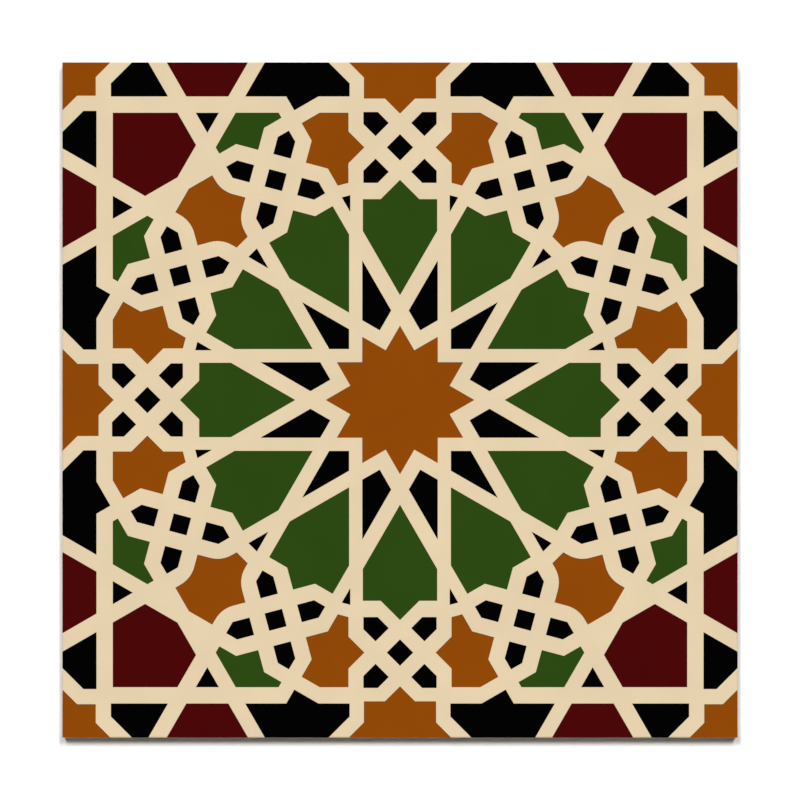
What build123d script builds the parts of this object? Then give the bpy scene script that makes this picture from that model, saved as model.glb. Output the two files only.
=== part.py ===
from build123d import *
import math
import os

os.makedirs("parts", exist_ok=True)

# Star pattern tile. Millimetres. The tile lies face up: back on z = 0, centre at x = y = 0.
# The drawing has the symmetry of the square, so most bands are drawn once and mirrored.

# Blank
TILE_SIDE = 152.4
TILE_THICK = 8.0
ARRIS_RADIUS = 0.4
SIDE_BEVEL_HEIGHT = 2.2
SIDE_BEVEL_INSET = 0.5

# Relief of the face: coloured fields lie this far below the light bands
FIELD_DEPTH = 0.3
# A field smaller than this is left filled
FIELD_MIN_AREA = 0.6

# Keying grid of the back
KEY_COUNT = 10
KEY_MARGIN = 6.0
KEY_RIB = 2.4
KEY_DEPTH = 0.8
KEY_SLOPE = 20.0

# The drawing follows the side of the tile
FIT = TILE_SIDE / 152.4

# Twelve-pointed star: right-angled bands whose legs run out to the twelve knots.
# Each leg has its own place and width on either side of its crossing with the next knot's leg.
LEG_CROSSING = 37.5 * FIT
LEG_NEAR = 10.0 * FIT
LEG_NEAR_WIDTH = 3.0 * FIT
LEG_FAR = 9.8 * FIT
LEG_FAR_WIDTH = 2.85 * FIT

# Knots on the middle lines of the tile: two pairs of crossed bands in a square ring
KNOT_RADIUS = 57.0 * FIT
CHORD_OFFSET = 3.9 * FIT
CHORD_WIDTH = 3.6 * FIT
CHORD_INNER_WIDTH = 3.1 * FIT
CHORD_OUTER_WIDTH = 3.3 * FIT
RING_SIDE = 9.95 * FIT
RING_SIDE_WIDTH = 3.4 * FIT
RING_INNER = 9.85 * FIT
RING_INNER_WIDTH = 3.7 * FIT
RING_OUTER = 9.5 * FIT
RING_OUTER_WIDTH = 3.05 * FIT
# Where the sides of the ring and its inner bar end, so that the small triangles stay open
RING_FOOT = 10.7 * FIT
RING_FOOT_SIDE = 10.75 * FIT

# The eight other knots are turned and lie a little towards the middle lines
TURNED_RADIUS = 57.0 * FIT
TURNED_SHIFT = 0.5 * FIT
TURNED_CHORD_OFFSET = 3.8 * FIT
TURNED_CHORD_WIDTH = 3.55 * FIT
TURNED_RING = 9.85 * FIT
TURNED_RING_WIDTH = 3.35 * FIT
# Their sides that face each other are fuller and rounded, which rounds the field between them
FULL_SIDE = 10.0 * FIT
FULL_SIDE_WIDTH = 3.7 * FIT
FULL_SIDE_ROUNDING = 6.5 * FIT
ROUNDED_FIELD = 42.2 * FIT
TURNED_RIGHT_NEAR = 10.1 * FIT
TURNED_RIGHT_NEAR_WIDTH = 3.45 * FIT
TURNED_RIGHT_FAR = 10.1 * FIT
TURNED_RIGHT_FAR_WIDTH = 2.8 * FIT
TURNED_LEFT_NEAR = 9.7 * FIT
TURNED_LEFT_NEAR_WIDTH = 3.25 * FIT
TURNED_LEFT_CROSSING = 36.2 * FIT
TURNED_LEFT_FAR = 9.35 * FIT
TURNED_LEFT_FAR_WIDTH = 3.05 * FIT

# Short links between neighbouring knots
LINK_RADIUS = 48.95 * FIT
LINK_WIDTH = 2.8 * FIT
LINK_HALF = 2.55 * FIT
LINK_DIAGONAL_RADIUS = 48.7 * FIT
LINK_DIAGONAL_WIDTH = 3.35 * FIT
LINK_DIAGONAL_HALF = 3.1 * FIT

# Border square and its run-out round the corner stars
BORDER_OFFSET = 66.65 * FIT
BORDER_WIDTH = 3.7 * FIT
CORNER_OFFSET = 66.95 * FIT
CORNER_WIDTH = 3.45 * FIT
CORNER_BEND = 72.15 * FIT

# Run-out round the half stars in the middle of each side
MIDDLE_OFFSET = 9.75 * FIT
MIDDLE_WIDTH = 3.25 * FIT
MIDDLE_BEND = 72.1 * FIT

# Two long bands that cross near each corner
CROSS_STEEP_OFFSET = 9.3 * FIT
CROSS_STEEP_WIDTH = 3.6 * FIT
CROSS_LOW_OFFSET = 66.15 * FIT
CROSS_LOW_WIDTH = 3.3 * FIT
CROSS_INNER_OFFSET = 66.85 * FIT
CROSS_INNER_WIDTH = 3.55 * FIT

# How far past the edge of the tile the bands and fields are drawn before the edge cuts them
OVERRUN = 3.0


def turn(point, angle):
    c = math.cos(math.radians(angle))
    s = math.sin(math.radians(angle))
    return (c * point[0] - s * point[1], s * point[0] + c * point[1])


def shift(point, by):
    return (point[0] + by[0], point[1] + by[1])


def meet(p, u, q, v):
    # Point where the line through p along u meets the line through q along v
    det = u[0] * v[1] - u[1] * v[0]
    if abs(det) < 1e-9:
        return q
    t = ((q[0] - p[0]) * v[1] - (q[1] - p[1]) * v[0]) / det
    return (p[0] + t * u[0], p[1] + t * u[1])


def on_line(bearing, distance, along):
    # Point of the line whose normal has this bearing and distance from the centre
    return turn((distance, along), bearing)


def cross(bearing_a, distance_a, bearing_b, distance_b):
    return meet(
        on_line(bearing_a, distance_a, 0),
        turn((0, 1), bearing_a),
        on_line(bearing_b, distance_b, 0),
        turn((0, 1), bearing_b),
    )


def band(points, widths):
    # Outline of a band along a bent line, mitred at the bends, with its own width in each run
    runs = []
    for i, width in enumerate(widths):
        p = points[i]
        q = points[i + 1]
        length = math.hypot(q[0] - p[0], q[1] - p[1])
        u = ((q[0] - p[0]) / length, (q[1] - p[1]) / length)
        runs.append((p, q, u, (-u[1], u[0]), width / 2))
    sides = []
    for sign in (1, -1):
        line = []
        for i, (p, q, u, n, half) in enumerate(runs):
            start = (p[0] + sign * half * n[0], p[1] + sign * half * n[1])
            if i == 0:
                line.append(start)
            else:
                line.append(meet(before, u_before, start, u))
            before = start
            u_before = u
        p, q, u, n, half = runs[-1]
        line.append((q[0] + sign * half * n[0], q[1] + sign * half * n[1]))
        sides.append(line)
    return sides[0] + sides[1][::-1]


def images(outline, mirrored):
    # The four quarter turns of an outline, and their mirror images
    copies = []
    for k in range(4):
        copies.append([turn(p, 90 * k) for p in outline])
        if mirrored:
            copies.append([turn((-p[0], p[1]), 90 * k) for p in outline])
    return copies


def knot(centre, angle, ring, ring_widths, left, offset, widths):
    # Eight bands: each follows one side of the ring, cuts the corner and crosses the knot.
    # The side on the left has its own place and width.
    side, inner, outer, foot, foot_side = ring
    side_width, inner_width, outer_width = ring_widths
    width, inner_chord, outer_chord = widths
    outlines = []
    for u in (1, -1):
        for v in (1, -1):
            upright_side, upright_width = (side, side_width) if u == 1 else left
            x = u * upright_side
            y = outer if v == 1 else -inner
            y_far = -foot if v == 1 else outer + outer_width / 2
            x_far = side + side_width / 2 if v == 1 else foot_side
            across = outer_width if v == 1 else inner_width
            chord = outer_chord if v == 1 else inner_chord
            reach = offset * math.sqrt(2)
            upright = [
                (x, y_far),
                (x, v * (reach - upright_side)),
                (0, v * reach),
            ]
            reach = (offset - (width - chord) / 2) * math.sqrt(2)
            level = [
                (0, v * reach),
                (u * (reach - v * y), y),
                (-u * x_far, y),
            ]
            for path, path_widths in ((upright, [upright_width, width]), (level, [chord, across])):
                path = [shift(turn(p, angle), centre) for p in path]
                outlines.append(band(path, path_widths))
    return outlines


def leg(angle, side, near, far, ends):
    # The two lengths of a leg; near and far are (distance from the knot's middle line, width)
    start, crossing, stop = ends
    near_path = [turn((side * near[0], y), angle) for y in (start, crossing)]
    far_path = [turn((side * far[0], y), angle) for y in (crossing, stop)]
    return [band(near_path, [near[1]]), band(far_path, [far[1]])]


def bands():
    half = TILE_SIDE / 2
    far = half + 2 * OVERRUN
    outlines = []

    # Knot on the middle line, its legs and its run-out round the half star
    ring = (RING_SIDE, RING_INNER, RING_OUTER, RING_FOOT, RING_FOOT_SIDE)
    ring_widths = (RING_SIDE_WIDTH, RING_INNER_WIDTH, RING_OUTER_WIDTH)
    widths = (CHORD_WIDTH, CHORD_INNER_WIDTH, CHORD_OUTER_WIDTH)
    left = (RING_SIDE, RING_SIDE_WIDTH)
    for outline in knot((0, KNOT_RADIUS), 0, ring, ring_widths, left, CHORD_OFFSET, widths):
        outlines += images(outline, False)
    ends = (LEG_NEAR - LEG_NEAR_WIDTH / 2, LEG_CROSSING, KNOT_RADIUS - RING_INNER)
    for outline in leg(0, -1, (LEG_NEAR, LEG_NEAR_WIDTH), (LEG_FAR, LEG_FAR_WIDTH), ends):
        outlines += images(outline, True)
    run_out = [
        (-MIDDLE_OFFSET, BORDER_OFFSET),
        (-MIDDLE_OFFSET, MIDDLE_BEND),
        (-MIDDLE_OFFSET - (far - MIDDLE_BEND), far),
    ]
    outlines += images(band(run_out, [MIDDLE_WIDTH, MIDDLE_WIDTH]), True)

    # Knot beside it, turned by 30 degrees, and its legs
    ring = (TURNED_RING, TURNED_RING, TURNED_RING, RING_FOOT, RING_FOOT_SIDE)
    ring_widths = (TURNED_RING_WIDTH, TURNED_RING_WIDTH, TURNED_RING_WIDTH)
    widths = (TURNED_CHORD_WIDTH, TURNED_CHORD_WIDTH, TURNED_CHORD_WIDTH)
    centre = turn((TURNED_SHIFT, TURNED_RADIUS), 30)
    left = (FULL_SIDE, FULL_SIDE_WIDTH)
    for outline in knot(centre, 30, ring, ring_widths, left, TURNED_CHORD_OFFSET, widths):
        outlines += images(outline, True)
    right_near = (TURNED_RIGHT_NEAR, TURNED_RIGHT_NEAR_WIDTH)
    right_far = (TURNED_RIGHT_FAR, TURNED_RIGHT_FAR_WIDTH)
    left_near = (TURNED_LEFT_NEAR, TURNED_LEFT_NEAR_WIDTH)
    left_far = (TURNED_LEFT_FAR, TURNED_LEFT_FAR_WIDTH)
    stop = TURNED_RADIUS - TURNED_RING
    right_ends = (TURNED_LEFT_NEAR - TURNED_LEFT_NEAR_WIDTH / 2, LEG_CROSSING, stop)
    left_ends = (TURNED_RIGHT_NEAR - TURNED_RIGHT_NEAR_WIDTH / 2, TURNED_LEFT_CROSSING, stop)
    legs = leg(30, 1, right_near, right_far, right_ends)
    legs += leg(30, -1, left_near, left_far, left_ends)
    for outline in legs:
        outlines += images(outline, True)

    # Links between neighbouring knots
    link = [turn((-LINK_HALF, LINK_RADIUS), 14.75), turn((LINK_HALF, LINK_RADIUS), 14.75)]
    outlines += images(band(link, [LINK_WIDTH]), True)
    link = [(-LINK_DIAGONAL_HALF, LINK_DIAGONAL_RADIUS), (LINK_DIAGONAL_HALF, LINK_DIAGONAL_RADIUS)]
    link = [turn(p, 45) for p in link]
    outlines += images(band(link, [LINK_DIAGONAL_WIDTH]), False)

    # Border, which dips to the outer corner of each turned knot, and its run-out round the corner star
    ring_right = TURNED_SHIFT + TURNED_RING
    ring_left = TURNED_SHIFT - TURNED_RING
    ring_outer = TURNED_RADIUS + TURNED_RING
    ring_corner = turn((ring_right, ring_outer), 30)
    inner_bend = cross(120, ring_outer, 90, BORDER_OFFSET)
    outer_bend = cross(30, ring_right, 90, BORDER_OFFSET)
    border = [(-MIDDLE_OFFSET, BORDER_OFFSET), inner_bend, ring_corner]
    outlines += images(band(border, [BORDER_WIDTH, TURNED_RING_WIDTH]), True)
    border = [(-BORDER_OFFSET - BORDER_WIDTH / 2, BORDER_OFFSET), outer_bend, ring_corner]
    outlines += images(band(border, [BORDER_WIDTH, TURNED_RING_WIDTH]), True)
    run_out = [
        (-CORNER_OFFSET, BORDER_OFFSET),
        (-CORNER_OFFSET, CORNER_BEND),
        (-CORNER_OFFSET + (far - CORNER_BEND), far),
    ]
    outlines += images(band(run_out, [CORNER_WIDTH, CORNER_WIDTH]), True)

    # Long bands that cross near the corner of the tile
    start = turn((-CROSS_STEEP_OFFSET, ring_outer), 30)
    stop = cross(30, -CROSS_STEEP_OFFSET, 90, far)
    outlines += images(band([start, stop], [CROSS_STEEP_WIDTH]), True)
    start = cross(30, -CROSS_STEEP_OFFSET, 150, CROSS_LOW_OFFSET)
    stop = cross(150, CROSS_LOW_OFFSET, 90, far)
    outlines += images(band([start, stop], [CROSS_LOW_WIDTH]), True)
    start = cross(30, -CROSS_STEEP_OFFSET, 150, CROSS_INNER_OFFSET)
    stop = cross(150, CROSS_INNER_OFFSET, 240, ring_left)
    outlines += images(band([start, stop], [CROSS_INNER_WIDTH]), True)
    return outlines


def fields():
    # Everything between the bands, drawn a little past the edge of the tile
    ground = Rectangle(TILE_SIDE + 2 * OVERRUN, TILE_SIDE + 2 * OVERRUN).face()
    straps = [Face(Wire.make_polygon([Vector(x, y) for x, y in o])) for o in bands()]
    between = ground.cut(*straps)
    kept = []
    for field in between.faces():
        middle = field.center()
        off_x = abs(abs(middle.X) - ROUNDED_FIELD)
        off_y = abs(abs(middle.Y) - ROUNDED_FIELD)
        if off_x + off_y < 2 * FIT:
            # The four vertices nearest the middle are those where the full sides turn
            turns = field.vertices().sort_by_distance(middle)[:4]
            field = field.fillet_2d(FULL_SIDE_ROUNDING, turns)
        if field.area > FIELD_MIN_AREA:
            kept.append(field)
    return kept


def blank():
    top_part = Pos(0, 0, SIDE_BEVEL_HEIGHT) * extrude(
        Rectangle(TILE_SIDE, TILE_SIDE), TILE_THICK - SIDE_BEVEL_HEIGHT
    )
    slope = math.degrees(math.atan2(SIDE_BEVEL_INSET, SIDE_BEVEL_HEIGHT))
    low_part = Pos(0, 0, SIDE_BEVEL_HEIGHT) * extrude(
        Rectangle(TILE_SIDE, TILE_SIDE), -SIDE_BEVEL_HEIGHT, taper=slope
    )
    body = top_part + low_part
    arris = body.edges().filter_by(Plane.XY).group_by(Axis.Z)[-1]
    return fillet(arris, ARRIS_RADIUS)


def keying():
    # Square pockets of the back, opening towards the bed
    pitch = (TILE_SIDE - 2 * KEY_MARGIN + KEY_RIB) / KEY_COUNT
    mouth = pitch - KEY_RIB
    pocket = extrude(Rectangle(mouth, mouth), KEY_DEPTH, taper=KEY_SLOPE)
    spots = []
    for i in range(KEY_COUNT):
        for j in range(KEY_COUNT):
            x = (i - (KEY_COUNT - 1) / 2) * pitch
            y = (j - (KEY_COUNT - 1) / 2) * pitch
            spots.append(Pos(x, y, 0) * pocket)
    return spots


floor = TILE_THICK - FIELD_DEPTH
wells = [Pos(0, 0, floor) * extrude(f, FIELD_DEPTH + 1.0, dir=(0, 0, 1)) for f in fields()]
tile = blank()
tile = tile.cut(*[w.solid() for w in wells])
tile = tile.cut(*[k.solid() for k in keying()])
solid = tile.solids()[0]
solid.label = "tile"
export_step(solid, "parts/tile.step")
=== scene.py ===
import math
from types import SimpleNamespace

import bmesh
import bpy
import numpy as np
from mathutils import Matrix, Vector, geometry, noise


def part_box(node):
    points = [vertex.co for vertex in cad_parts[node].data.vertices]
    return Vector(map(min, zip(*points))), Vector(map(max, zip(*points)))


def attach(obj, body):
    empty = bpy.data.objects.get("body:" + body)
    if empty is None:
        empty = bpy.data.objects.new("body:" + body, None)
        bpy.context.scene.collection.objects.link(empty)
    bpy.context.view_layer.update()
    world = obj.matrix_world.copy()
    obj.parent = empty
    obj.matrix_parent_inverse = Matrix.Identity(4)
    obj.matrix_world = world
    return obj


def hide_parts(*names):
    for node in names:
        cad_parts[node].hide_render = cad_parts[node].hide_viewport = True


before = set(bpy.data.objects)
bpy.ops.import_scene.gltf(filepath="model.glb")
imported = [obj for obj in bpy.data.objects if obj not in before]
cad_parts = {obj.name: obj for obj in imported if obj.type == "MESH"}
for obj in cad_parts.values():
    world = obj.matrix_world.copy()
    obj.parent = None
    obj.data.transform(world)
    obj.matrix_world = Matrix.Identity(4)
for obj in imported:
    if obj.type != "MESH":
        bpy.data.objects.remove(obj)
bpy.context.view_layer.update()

# Lengths are in millimetres until the mesh is made
MM = 0.001
WELD = 0.001
# A corner that turns by less than this, as a sine, lies along a straight side
STRAIGHT = 0.003
# Points this near to the side of the tile lie on it
NEAR_SIDE = 0.1
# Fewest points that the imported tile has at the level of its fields, and of its pockets
FIELD_POINTS = 400
POCKET_POINTS = 200

# Soft edge between a band and a field: how far it reaches onto the band and into the field,
# and the narrow flat strip on either side of it that keeps the bands and fields level
EDGE_ON_BAND = 0.04
EDGE_IN_FIELD = 0.1
EDGE_ROWS = 6
EDGE_GUARD = 0.015
# Soft edges of the pockets of the back
POCKET_EDGE = 0.12
POCKET_ROWS = 4
# Rounding of the face at the sides, with coarser steps along each row further in
ARRIS_ROWS = 5
RIM_STEP = 1.2
# Fields that reach the side are drawn this far past it, so that the side isn't an edge
PAST_SIDE = 2.0
# The glaze laps down the sides to a wavy line and stands a little proud of the bare body.
# Each wave is its share of the height, its scale per millimetre and its place in the noise.
LAP = 0.9
LAP_WAVE = 0.55
LAP_WAVES = ((0.6, 0.12, 7.7), (0.4, 0.45, 4.2))
GLAZE_SKIN = 0.05
BACK_ROUNDING = 0.12
# Faces that turn by more than about 50 degrees meet in a sharp edge
SHARP = 0.64

# Fields by colour: distances of a field's middle from the two middle lines, the smaller first.
# A field that is near none of them is black.
FIELD_COLOURS = {
    "brown": ((0, 0), (15, 58), (42, 42), (0, 71), (72, 72)),
    "green": ((19, 33), (0, 38), (35, 61)),
    "maroon": ((56, 56), (43, 73)),
}
FIELD_REACH = 4.0

# Colours as sRGB of 255: each glaze, and the same glaze where it lies thin
GLAZES = {
    "cream": ((229, 209, 173), (222, 198, 158)),
    "brown": ((143, 72, 8), (152, 80, 14)),
    "green": ((44, 73, 19), (54, 82, 26)),
    "maroon": ((74, 8, 9), (86, 14, 13)),
    "black": ((3, 3, 3), (10, 9, 8)),
}
GLAZE_SLOTS = list(GLAZES)
BAND_SLOT = GLAZE_SLOTS.index("cream")
BISQUE_SLOT = len(GLAZE_SLOTS)
BISQUE = (218, 208, 190)
BISQUE_WARM = (207, 192, 168)
BISQUE_DARK = (168, 150, 124)
SPECK = (96, 70, 48)
KILN_WASH = (236, 230, 216)

# Most of a noise lies in this range
NOISE_SPREAD = (0.3, 0.7)
# Glaze: noise scales are per metre, heights of the bumps in millimetres
GLAZE_CLOUDS = 90
GLAZE_CLOUDING = 0.03
GLAZE_GLOSS = 220
GLAZE_ROUGHNESS = (0.06, 0.12)
GLAZE_IOR = 1.5
WAVES = 110
WAVE_HEIGHT = 0.16
PEEL = 900
PEEL_HEIGHT = 0.006
# Depths below the face, the deeper first, between which a glaze goes over to its thin colour:
# that of a band going down at its edge, and that of a field going up at its edge
BAND_THIN = (0.14, 0.04)
FIELD_THIN = (0.26, 0.16)

# Bisque: noise scales per metre, then for each detail the range of its noise and its strength
BODY_CLOUDS = 35
DRAW_LINES = 700
DRAWN_OUT = (1.0, 1.0, 0.06)
LINE_SHADE = ((0.35, 0.65), (0.28, 0.0))
LINE_HEIGHT = 0.08
GRAIN = 1500
GRAIN_SHADE = ((0.58, 0.7), (0.0, 0.55))
GRAIN_HEIGHT = 0.12
SPECKS = 620
SPECK_SHADE = ((0.7, 0.74), (0.0, 0.8))
WASH_PATCHES = 180
WASH_SHADE = ((0.42, 0.6), (0.1, 0.75))
WASH_TOP = (0.02, 0.1)
BISQUE_ROUGHNESS = (0.75, 0.95)


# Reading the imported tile

def packed_surface(node):
    """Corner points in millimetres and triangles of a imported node, welded."""
    mesh = node.data
    mesh.calc_loop_triangles()
    points = np.array([v.co[:] for v in mesh.vertices]) / MM
    corners, where = np.unique(np.round(points, 3), axis=0, return_inverse=True)
    where = where.reshape(-1)
    triangles = [[where[i] for i in t.vertices] for t in mesh.loop_triangles]
    return corners, [t for t in triangles if len(set(t)) == 3]


def level_loops(corners, triangles, level):
    """Closed outlines of the flat surface at one height, with the surface on their left."""
    follows = {}
    edges = set()
    for t in triangles:
        if all(abs(corners[i][2] - level) < 2 * WELD for i in t):
            a, b, c = (corners[i] for i in t)
            if (b[0] - a[0]) * (c[1] - a[1]) < (b[1] - a[1]) * (c[0] - a[0]):
                t = t[::-1]
            edges.update(((t[0], t[1]), (t[1], t[2]), (t[2], t[0])))
    for a, b in edges:
        if (b, a) not in edges:
            follows[a] = b
    loops = []
    while follows:
        start = next(iter(follows))
        loop = [start]
        step = follows.pop(start)
        while step != start:
            loop.append(step)
            step = follows.pop(step)
        loops.append(straightened([tuple(corners[i][:2]) for i in loop]))
    return loops


def straightened(loop):
    """The outline without the points that lie along its straight sides."""
    kept = []
    for i, p in enumerate(loop):
        a = np.subtract(p, loop[i - 1])
        b = np.subtract(loop[(i + 1) % len(loop)], p)
        turn = a[0] * b[1] - a[1] * b[0]
        if abs(turn) > STRAIGHT * math.hypot(*a) * math.hypot(*b):
            kept.append(p)
    return kept


def loop_area(loop):
    """Area inside an outline, negative where it runs clockwise."""
    total = 0
    for (x0, y0), (x1, y1) in zip(loop, loop[1:] + loop[:1]):
        total += x0 * y1 - x1 * y0
    return total / 2


def loop_middle(loop):
    """Centre of area of an outline."""
    area = loop_area(loop)
    x = y = 0
    for (x0, y0), (x1, y1) in zip(loop, loop[1:] + loop[:1]):
        cross = x0 * y1 - x1 * y0
        x += (x0 + x1) * cross
        y += (y0 + y1) * cross
    return x / (6 * area), y / (6 * area)


def off_the_side(loop, half):
    """The outline with the points that lie at the side of the tile moved out past it."""
    near = half - NEAR_SIDE
    moved = []
    for i, p in enumerate(loop):
        if max(abs(p[0]), abs(p[1])) < near:
            moved.append(p)
            continue
        beside = (loop[i - 1], loop[(i + 1) % len(loop)])
        inner = [q for q in beside if max(abs(q[0]), abs(q[1])) < near]
        if not inner:
            moved.append(tuple(math.copysign(half + PAST_SIDE, c) for c in p))
            continue
        axis = 0 if abs(p[0]) > abs(p[1]) else 1
        run = np.subtract(p, inner[0])
        reach = (half + PAST_SIDE - abs(inner[0][axis])) / abs(run[axis])
        moved.append(tuple(np.add(inner[0], run * reach)))
    return moved


def colour_of(middle):
    """Glaze of a field, from where its middle lies."""
    u, v = sorted((abs(middle[0]), abs(middle[1])))
    for name, places in FIELD_COLOURS.items():
        for place in places:
            if math.hypot(u - place[0], v - place[1]) < FIELD_REACH:
                return GLAZE_SLOTS.index(name)
    return GLAZE_SLOTS.index("black")


def read_tile():
    """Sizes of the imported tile, and the outlines of its fields and pockets."""
    corners, triangles = packed_surface(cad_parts["tile"])
    low, high = (np.array(c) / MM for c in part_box("tile"))
    half = high[0]
    top = high[2]
    heights, counts = np.unique(np.round(corners[:, 2], 2), return_counts=True)
    levels = list(zip(heights, counts))
    floor = max(h for h, n in levels if h < top - WELD and n > FIELD_POINTS)
    pocket = min(h for h, n in levels if h > WELD and n > POCKET_POINTS)
    at_side = corners[np.abs(corners[:, 0]) > half - WELD][:, 2]
    fields = level_loops(corners, triangles, floor)
    mouths = [loop[::-1] for loop in level_loops(corners, triangles, low[2])]
    mouths = [loop for loop in mouths if loop_area(loop) > 0]
    pocket_floor = level_loops(corners, triangles, pocket)[0]
    mouth_side = math.sqrt(abs(loop_area(mouths[0])))
    return SimpleNamespace(
        half=half,
        top=top,
        bottom=low[2],
        field_level=floor,
        pocket_level=pocket,
        arris=top - at_side.max(),
        bevel_height=at_side.min(),
        bevel_inset=half - corners[corners[:, 2] < WELD][:, 0].max(),
        colours=[colour_of(loop_middle(loop)) for loop in fields],
        fields=[off_the_side(loop, half) for loop in fields],
        mouths=mouths,
        pocket_wall=(mouth_side - math.sqrt(abs(loop_area(pocket_floor)))) / 2,
    )


# Making the surfaces

def offset(loop, distance):
    """The outline moved to its left by a distance, with its corners kept sharp."""
    lines = []
    for i, p in enumerate(loop):
        q = loop[(i + 1) % len(loop)]
        run = np.subtract(q, p)
        run = run / np.linalg.norm(run)
        lines.append((np.add(p, distance * np.array((-run[1], run[0]))), run))
    moved = []
    for i, (q, v) in enumerate(lines):
        p, u = lines[i - 1]
        det = u[0] * v[1] - u[1] * v[0]
        t = ((q[0] - p[0]) * v[1] - (q[1] - p[1]) * v[0]) / det
        moved.append(tuple(p + t * u))
    return moved


def distance_to(points, loops):
    """Distance of each point to the nearest outline."""
    a = np.array([p for loop in loops for p in loop])
    b = np.array([p for loop in loops for p in loop[1:] + loop[:1]])
    run = b - a
    length = (run**2).sum(1)
    best = np.empty(len(points))
    for i, p in enumerate(points):
        to = p - a
        t = np.clip((to * run).sum(1) / length, 0, 1)
        gap = to - run * t[:, None]
        best[i] = (gap**2).sum(1).min()
    return np.sqrt(best)


def square(half, step):
    """Points round a square, counterclockwise, about a step apart."""
    count = math.ceil(2 * half / step)
    side = [(-half + 2 * half * i / count, -half) for i in range(count)]
    points = []
    for c, s in ((1, 0), (0, 1), (-1, 0), (0, -1)):
        points += [(c * x - s * y, s * x + c * y) for x, y in side]
    return points


def sheet(loops, distances, rim, inner_squares, half):
    """Triangles over the square inside the rim, with rows of points along each outline.

    Gives the points, the triangles, the outline each triangle lies in (or -1), and each
    point's distance from the nearest outline, positive inside it."""
    points = []
    edges = []
    faces = []

    def add(loop):
        start = len(points)
        points.extend(Vector(p) for p in loop)
        count = len(loop)
        edges.extend((start + i, start + (i + 1) % count) for i in range(count))
        return list(range(start, start + count))

    for loop in loops:
        faces.append(add(loop))
        for d in distances:
            if d:
                add(offset(loop, d))
    for loop in [rim] + inner_squares:
        add(loop)
    made = geometry.delaunay_2d_cdt(points, edges, faces, 0, WELD / 10)
    spots = np.array([p[:] for p in made[0]])
    triangles = []
    fields = []
    for t, within in zip(made[2], made[5]):
        middle = spots[list(t)].mean(0)
        if max(abs(middle)) < half:
            triangles.append(list(t))
            fields.append(within[0] if within else -1)
    used = sorted({i for t in triangles for i in t})
    renumber = {old: new for new, old in enumerate(used)}
    triangles = [[renumber[i] for i in t] for t in triangles]
    spots = spots[used]
    reach = distance_to(spots, loops)
    inside = np.zeros(len(spots), bool)
    for t, field in zip(triangles, fields):
        if field >= 0:
            inside[t] = True
    return spots, triangles, fields, np.where(inside, reach, -reach)


def eased(t):
    """Smooth step from 0 to 1."""
    t = np.clip(t, 0, 1)
    return t * t * (3 - 2 * t)


def rim_order(spots, half):
    """The points on the side of the square, counterclockwise from the corner at -x, -y."""
    on_rim = [i for i, p in enumerate(spots) if max(abs(p)) > half - WELD]

    def along(i):
        x, y = spots[i]
        if y < -half + WELD and x < half - WELD:
            return x + half
        if x > half - WELD and y < half - WELD:
            return 2 * half + y + half
        if y > half - WELD and x > -half + WELD:
            return 4 * half + half - x
        return 6 * half + half - y

    return sorted(on_rim, key=along)


def add_face(shape, verts, faces, slots):
    """The glazed face. Gives the points of its rim, and the glaze along each edge."""
    half, top, arris = shape.half, shape.top, shape.arris
    steps = [-EDGE_ON_BAND - EDGE_GUARD, *np.linspace(-EDGE_ON_BAND, EDGE_IN_FIELD, EDGE_ROWS)]
    steps.append(EDGE_IN_FIELD + EDGE_GUARD)
    squares = []
    for i in range(1, ARRIS_ROWS + 1):
        angle = i / ARRIS_ROWS * math.pi / 2
        squares.append(square(half - arris * (1 - math.cos(angle)), RIM_STEP * (1 + i)))
    rim_square = square(half, RIM_STEP)
    spots, triangles, inside, depth = sheet(shape.fields, steps, rim_square, squares, half)
    slope = eased((depth + EDGE_ON_BAND) / (EDGE_ON_BAND + EDGE_IN_FIELD))
    drop = (top - shape.field_level) * slope
    from_side = np.clip(half - np.abs(spots).max(1), 0, arris)
    rounded = top - arris + np.sqrt(np.maximum(arris**2 - (arris - from_side) ** 2, 0))
    z = np.minimum(top - drop, rounded)
    verts += [(x, y, h) for (x, y), h in zip(spots, z)]
    faces += [tuple(t) for t in triangles]
    slots += [shape.colours[f] if f >= 0 else BAND_SLOT for f in inside]
    edge_glaze = {}
    for t, slot in zip(triangles, slots):
        for a, b in ((t[0], t[1]), (t[1], t[2]), (t[2], t[0])):
            edge_glaze[(a, b)] = slot
    return rim_order(spots, half), edge_glaze


def lap_line(rim_points, start):
    """Height at each point of the rim down to which the glaze laps over the side."""
    heights = []
    for x, y in rim_points:
        wave = 0
        for share, scale, place in LAP_WAVES:
            wave += share * noise.noise(Vector((x * scale, y * scale, place)))
        heights.append(start - LAP - LAP_WAVE * wave)
    return np.array(heights)


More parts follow.
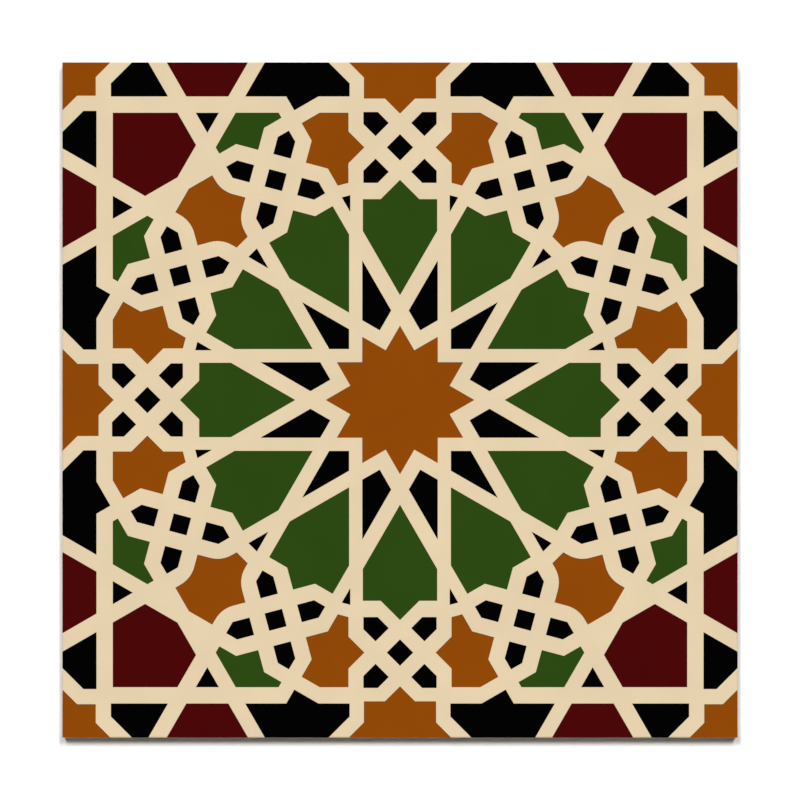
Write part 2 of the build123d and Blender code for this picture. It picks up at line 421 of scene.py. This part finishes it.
def add_sides(shape, rim, edge_glaze, verts, faces, slots):
    """The sides, as rows of points under the rim. Gives the last row and its half width."""
    half = shape.half
    rim_points = np.array([verts[i][:2] for i in rim])
    start = shape.top - shape.arris
    lap = lap_line(rim_points, start)
    level = np.zeros(len(rim))
    bare = half - GLAZE_SKIN
    slope = (shape.bevel_inset - GLAZE_SKIN) / shape.bevel_height
    foot = half - shape.bevel_inset
    glazed = (
        (half, start + (lap - start) * 0.5),
        (half, lap + GLAZE_SKIN),
        (bare, lap),
    )
    unglazed = (
        (bare, (lap + shape.bevel_height) / 2),
        (bare, level + shape.bevel_height + BACK_ROUNDING),
        (bare - slope * BACK_ROUNDING, level + shape.bevel_height - BACK_ROUNDING),
        (foot + slope * BACK_ROUNDING, level + BACK_ROUNDING),
        (foot - BACK_ROUNDING, level),
    )
    upper = rim
    for number, (reach, heights) in enumerate(glazed + unglazed):
        lower = list(range(len(verts), len(verts) + len(rim)))
        verts += [(x * reach / half, y * reach / half, h) for (x, y), h in zip(rim_points, heights)]
        for k in range(len(rim)):
            n = (k + 1) % len(rim)
            faces.append((upper[k], lower[k], lower[n], upper[n]))
            glaze_slot = edge_glaze.get((rim[k], rim[n]), BAND_SLOT)
            slots.append(glaze_slot if number < len(glazed) else BISQUE_SLOT)
        upper = lower
    return upper, foot - BACK_ROUNDING


def add_back(shape, rim, half, verts, faces, slots):
    """The back, with its keying pockets, inside the last row of the sides."""
    wall = shape.pocket_wall
    steps = np.linspace(-POCKET_EDGE, wall + POCKET_EDGE, POCKET_ROWS)
    rim_points = [verts[i][:2] for i in rim]
    spots, triangles, _, depth = sheet(shape.mouths, list(steps), rim_points, [], half)
    rise = eased((depth + POCKET_EDGE) / (wall + 2 * POCKET_EDGE))
    z = (shape.pocket_level - shape.bottom) * rise
    first = len(verts)
    verts += [(x, y, h) for (x, y), h in zip(spots, z)]
    faces += [tuple(first + i for i in reversed(t)) for t in triangles]
    slots += [BISQUE_SLOT] * len(triangles)


def tile_mesh():
    """The whole tile as one closed mesh: glazed face, lapped sides and keyed back."""
    shape = read_tile()
    verts = []
    faces = []
    slots = []
    rim, edge_glaze = add_face(shape, verts, faces, slots)
    back_rim, back_half = add_sides(shape, rim, edge_glaze, verts, faces, slots)
    add_back(shape, back_rim, back_half, verts, faces, slots)
    mesh = bpy.data.meshes.new("tile_fired")
    mesh.from_pydata([Vector(v) * MM for v in verts], [], faces)
    mesh.polygons.foreach_set("material_index", slots)
    weld(mesh)
    set_normals(mesh)
    return mesh


def weld(mesh):
    """Join the points that the face, the sides and the back share."""
    shape = bmesh.new()
    shape.from_mesh(mesh)
    bmesh.ops.remove_doubles(shape, verts=shape.verts, dist=WELD * MM)
    bmesh.ops.dissolve_degenerate(shape, edges=shape.edges, dist=WELD * MM / 10)
    shape.to_mesh(mesh)
    shape.free()


def set_normals(mesh):
    """Smooth shading in which large flat faces stay flat and the square corners stay sharp."""
    mesh.shade_smooth()
    around = [[] for _ in mesh.vertices]
    for face in mesh.polygons:
        for i in face.vertices:
            around[i].append((face.normal.copy(), (face.area / MM**2) ** 2))
    normals = [None] * len(mesh.loops)
    for face in mesh.polygons:
        for i, corner in zip(face.vertices, face.loop_indices):
            total = Vector((0, 0, 0))
            for normal, weight in around[i]:
                if normal.dot(face.normal) > SHARP:
                    total += normal * weight
            normals[corner] = total.normalized()
    mesh.normals_split_custom_set(normals)


# Nodes: each function adds one node and gives the socket that it puts out

def linear(colour):
    """Linear colour with alpha, from sRGB of 255."""
    values = []
    for c in colour:
        c /= 255
        values.append(c / 12.92 if c <= 0.04045 else ((c + 0.055) / 1.055) ** 2.4)
    return (*values, 1.0)


def fill(tree, socket, value):
    """Link a socket from another one, or set it to a number or colour."""
    if isinstance(value, bpy.types.NodeSocket):
        tree.links.new(value, socket)
    else:
        socket.default_value = value


def noise_node(tree, place, scale, detail=2.0, roughness=0.5):
    node = tree.nodes.new("ShaderNodeTexNoise")
    node.inputs["Scale"].default_value = scale
    node.inputs["Detail"].default_value = detail
    node.inputs["Roughness"].default_value = roughness
    tree.links.new(place, node.inputs["Vector"])
    return node.outputs["Fac"]


def range_node(tree, source, seen, given):
    """Stretch the range that is seen to the one that is given, and stop at its ends."""
    node = tree.nodes.new("ShaderNodeMapRange")
    for key, value in zip(("From Min", "From Max", "To Min", "To Max"), (*seen, *given)):
        node.inputs[key].default_value = value
    tree.links.new(source, node.inputs["Value"])
    return node.outputs["Result"]


def height_node(tree, place):
    node = tree.nodes.new("ShaderNodeSeparateXYZ")
    tree.links.new(place, node.inputs["Vector"])
    return node.outputs["Z"]


def math_node(tree, operation, a, b):
    node = tree.nodes.new("ShaderNodeMath")
    node.operation = operation
    tree.links.new(a, node.inputs[0])
    tree.links.new(b, node.inputs[1])
    return node.outputs["Value"]


def mix_node(tree, factor, a, b, kind="RGBA"):
    """Colour or number a where the factor is 0, and b where it is 1."""
    node = tree.nodes.new("ShaderNodeMix")
    node.data_type = "RGBA" if kind == "RGBA" else "FLOAT"
    tree.links.new(factor, node.inputs["Factor"])
    for key, value in (("A", a), ("B", b)):
        fill(tree, next(s for s in node.inputs if s.name == key and s.type == kind), value)
    return next(s for s in node.outputs if s.type == kind)


def bump_node(tree, height, distance, below=None):
    """Bumps of a distance in millimetres, over the bumps below them."""
    node = tree.nodes.new("ShaderNodeBump")
    node.inputs["Strength"].default_value = 1.0
    node.inputs["Distance"].default_value = distance * MM
    tree.links.new(height, node.inputs["Height"])
    if below:
        tree.links.new(below, node.inputs["Normal"])
    return node.outputs["Normal"]


# Materials

def new_material(name):
    material = bpy.data.materials.new(name)
    material.use_nodes = True
    return material, material.node_tree, material.node_tree.nodes["Principled BSDF"]


def object_place(tree):
    return tree.nodes.new("ShaderNodeTexCoord").outputs["Object"]


def glaze(name, top_z):
    """Glossy glaze: faint clouding, thin where it leaves a band or climbs out of a field, waves."""
    material, tree, shader = new_material("glaze_" + name)
    place = object_place(tree)
    colour, thin = GLAZES[name]
    base = linear(colour)
    deep = (*(c * (1 - GLAZE_CLOUDING) for c in base[:3]), 1.0)
    light = (*(c * (1 + GLAZE_CLOUDING) for c in base[:3]), 1.0)
    clouds = noise_node(tree, place, GLAZE_CLOUDS, 3.0)
    amount = range_node(tree, clouds, NOISE_SPREAD, (0.0, 1.0))
    body = mix_node(tree, amount, deep, light)
    on_band = GLAZE_SLOTS.index(name) == BAND_SLOT
    heights = [top_z - depth * MM for depth in (BAND_THIN if on_band else FIELD_THIN)]
    edge = range_node(tree, height_node(tree, place), heights, (1, 0) if on_band else (0, 1))
    body = mix_node(tree, edge, body, linear(thin))
    tree.links.new(body, shader.inputs["Base Color"])
    gloss = noise_node(tree, place, GLAZE_GLOSS)
    rough = range_node(tree, gloss, NOISE_SPREAD, GLAZE_ROUGHNESS)
    tree.links.new(rough, shader.inputs["Roughness"])
    shader.inputs["IOR"].default_value = GLAZE_IOR
    waves = bump_node(tree, noise_node(tree, place, WAVES, 1.0), WAVE_HEIGHT)
    peel = bump_node(tree, noise_node(tree, place, PEEL, 1.0), PEEL_HEIGHT, waves)
    tree.links.new(peel, shader.inputs["Normal"])
    return material


def bisque():
    """Bare fired body: matt and grainy, with dark specks, draw lines up the sides, and kiln
    wash left on the ribs of the back."""
    material, tree, shader = new_material("bisque")
    place = object_place(tree)
    clouds = noise_node(tree, place, BODY_CLOUDS, 4.0)
    amount = range_node(tree, clouds, NOISE_SPREAD, (0.0, 1.0))
    body = mix_node(tree, amount, linear(BISQUE_WARM), linear(BISQUE))
    # Noise drawn out along Z makes the lines that the press leaves on the sides
    drawn = tree.nodes.new("ShaderNodeMapping")
    drawn.inputs["Scale"].default_value = DRAWN_OUT
    tree.links.new(place, drawn.inputs["Vector"])
    lines = noise_node(tree, drawn.outputs["Vector"], DRAW_LINES, 3.0, 0.6)
    body = mix_node(tree, range_node(tree, lines, *LINE_SHADE), body, linear(BISQUE_DARK))
    grain = noise_node(tree, place, GRAIN, 4.0, 0.75)
    body = mix_node(tree, range_node(tree, grain, *GRAIN_SHADE), body, linear(BISQUE_DARK))
    specks = noise_node(tree, place, SPECKS, 2.0, 0.6)
    body = mix_node(tree, range_node(tree, specks, *SPECK_SHADE), body, linear(SPECK))
    # Pale wash on the surface that rests on the kiln's rollers
    wash_top = [height * MM for height in WASH_TOP]
    low = range_node(tree, height_node(tree, place), wash_top, (1.0, 0.0))
    patches = noise_node(tree, place, WASH_PATCHES, 4.0, 0.7)
    wash = math_node(tree, "MULTIPLY", low, range_node(tree, patches, *WASH_SHADE))
    body = mix_node(tree, wash, body, linear(KILN_WASH))
    tree.links.new(body, shader.inputs["Base Color"])
    rough = range_node(tree, grain, NOISE_SPREAD, BISQUE_ROUGHNESS)
    tree.links.new(rough, shader.inputs["Roughness"])
    ridges = bump_node(tree, lines, LINE_HEIGHT)
    tree.links.new(bump_node(tree, grain, GRAIN_HEIGHT, ridges), shader.inputs["Normal"])
    return material


# The tile

def show(name, data):
    """A new object with its data, in the scene."""
    thing = bpy.data.objects.new(name, data)
    bpy.context.scene.collection.objects.link(thing)
    return thing


box_low, box_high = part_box("tile")
top_z = box_high[2]
mesh = tile_mesh()
for glaze_name in GLAZES:
    mesh.materials.append(glaze(glaze_name, top_z))
mesh.materials.append(bisque())
tile = show("tile_fired", mesh)
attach(tile, "root")
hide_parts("tile")


# Floor: matt and nearly white, just under the tile, in metres
FLOOR_HALF = 2.5
FLOOR_DROP = 0.02
FLOOR_SHADE = 0.97

floor_material, _, floor_shader = new_material("floor")
floor_shader.inputs["Base Color"].default_value = (FLOOR_SHADE, FLOOR_SHADE, FLOOR_SHADE, 1.0)
floor_shader.inputs["Roughness"].default_value = 1.0
floor_shader.inputs["Specular IOR Level"].default_value = 0.0
floor_mesh = bpy.data.meshes.new("floor")
floor_corners = [(x, y, -FLOOR_DROP * MM) for x, y in square(FLOOR_HALF, 2 * FLOOR_HALF)]
floor_mesh.from_pydata(floor_corners, [], [(0, 1, 2, 3)])
floor_mesh.materials.append(floor_material)
floor = show("floor", floor_mesh)


# World: white to the camera and through glass, a weak fill on surfaces, and in reflections a
# studio with soft pale panels that fade from the horizon to a dark ceiling
SKY_FILL = 0.05
SKY_HORIZON = 0.8
SKY_ZENITH = 0.0
SKY_FADE = (0.05, 0.8)
PANELS = 4.5
PANEL_SHADE = ((0.45, 0.57), (0.25, 1.0))

world = bpy.data.worlds.new("studio")
bpy.context.scene.world = world
world.use_nodes = True
sky = world.node_tree
view = sky.nodes.new("ShaderNodeTexCoord").outputs["Generated"]
fade = range_node(sky, height_node(sky, view), SKY_FADE, (SKY_HORIZON, SKY_ZENITH))
panels = range_node(sky, noise_node(sky, view, PANELS, 1.0), *PANEL_SHADE)
mirrored = math_node(sky, "MULTIPLY", fade, panels)
path = sky.nodes.new("ShaderNodeLightPath").outputs
indirect = mix_node(sky, path["Is Glossy Ray"], SKY_FILL, mirrored, "VALUE")
direct = math_node(sky, "MAXIMUM", path["Is Camera Ray"], path["Is Transmission Ray"])
strength = mix_node(sky, direct, indirect, 1.0, "VALUE")
background = sky.nodes["Background"]
background.inputs["Color"].default_value = (1.0, 1.0, 1.0, 1.0)
sky.links.new(strength, background.inputs["Strength"])


# A bank of six suns in two columns: the columns shade the floor at both sides of the tile,
# and the rows make the longer, softer shadow under its lower edge
KEY_ENERGY = 3.24
KEY_ANGLE = 6
KEY_ACROSS = (-7, 7)
KEY_TILTS = (9.5, 12.5, 16)

suns = [(tilt, across) for tilt in KEY_TILTS for across in KEY_ACROSS]
for number, (tilt, across) in enumerate(suns):
    sun_data = bpy.data.lights.new(f"key_{number}", "SUN")
    sun_data.energy = KEY_ENERGY / len(suns)
    sun_data.angle = math.radians(KEY_ANGLE)
    sun = show(f"key_{number}", sun_data)
    sun.rotation_euler = (math.radians(-tilt), math.radians(across), 0)
    sun.visible_glossy = False


# Camera: straight above. The photograph is 800 pixels wide and the tile spans 675.4 of them.
PHOTO_WIDTH = 800
TILE_PIXELS = 675.4
SENSOR = 36
LENS = 500
CLIP_END = 20

camera_data = bpy.data.cameras.new("camera")
camera_data.sensor_width = SENSOR
camera_data.lens = LENS
camera_data.clip_end = CLIP_END
view_width = (box_high[0] - box_low[0]) * PHOTO_WIDTH / TILE_PIXELS
camera = show("camera", camera_data)
camera.location = (0, 0, top_z + view_width * LENS / SENSOR)
bpy.context.scene.camera = camera
bpy.context.scene.view_settings.view_transform = "Standard"
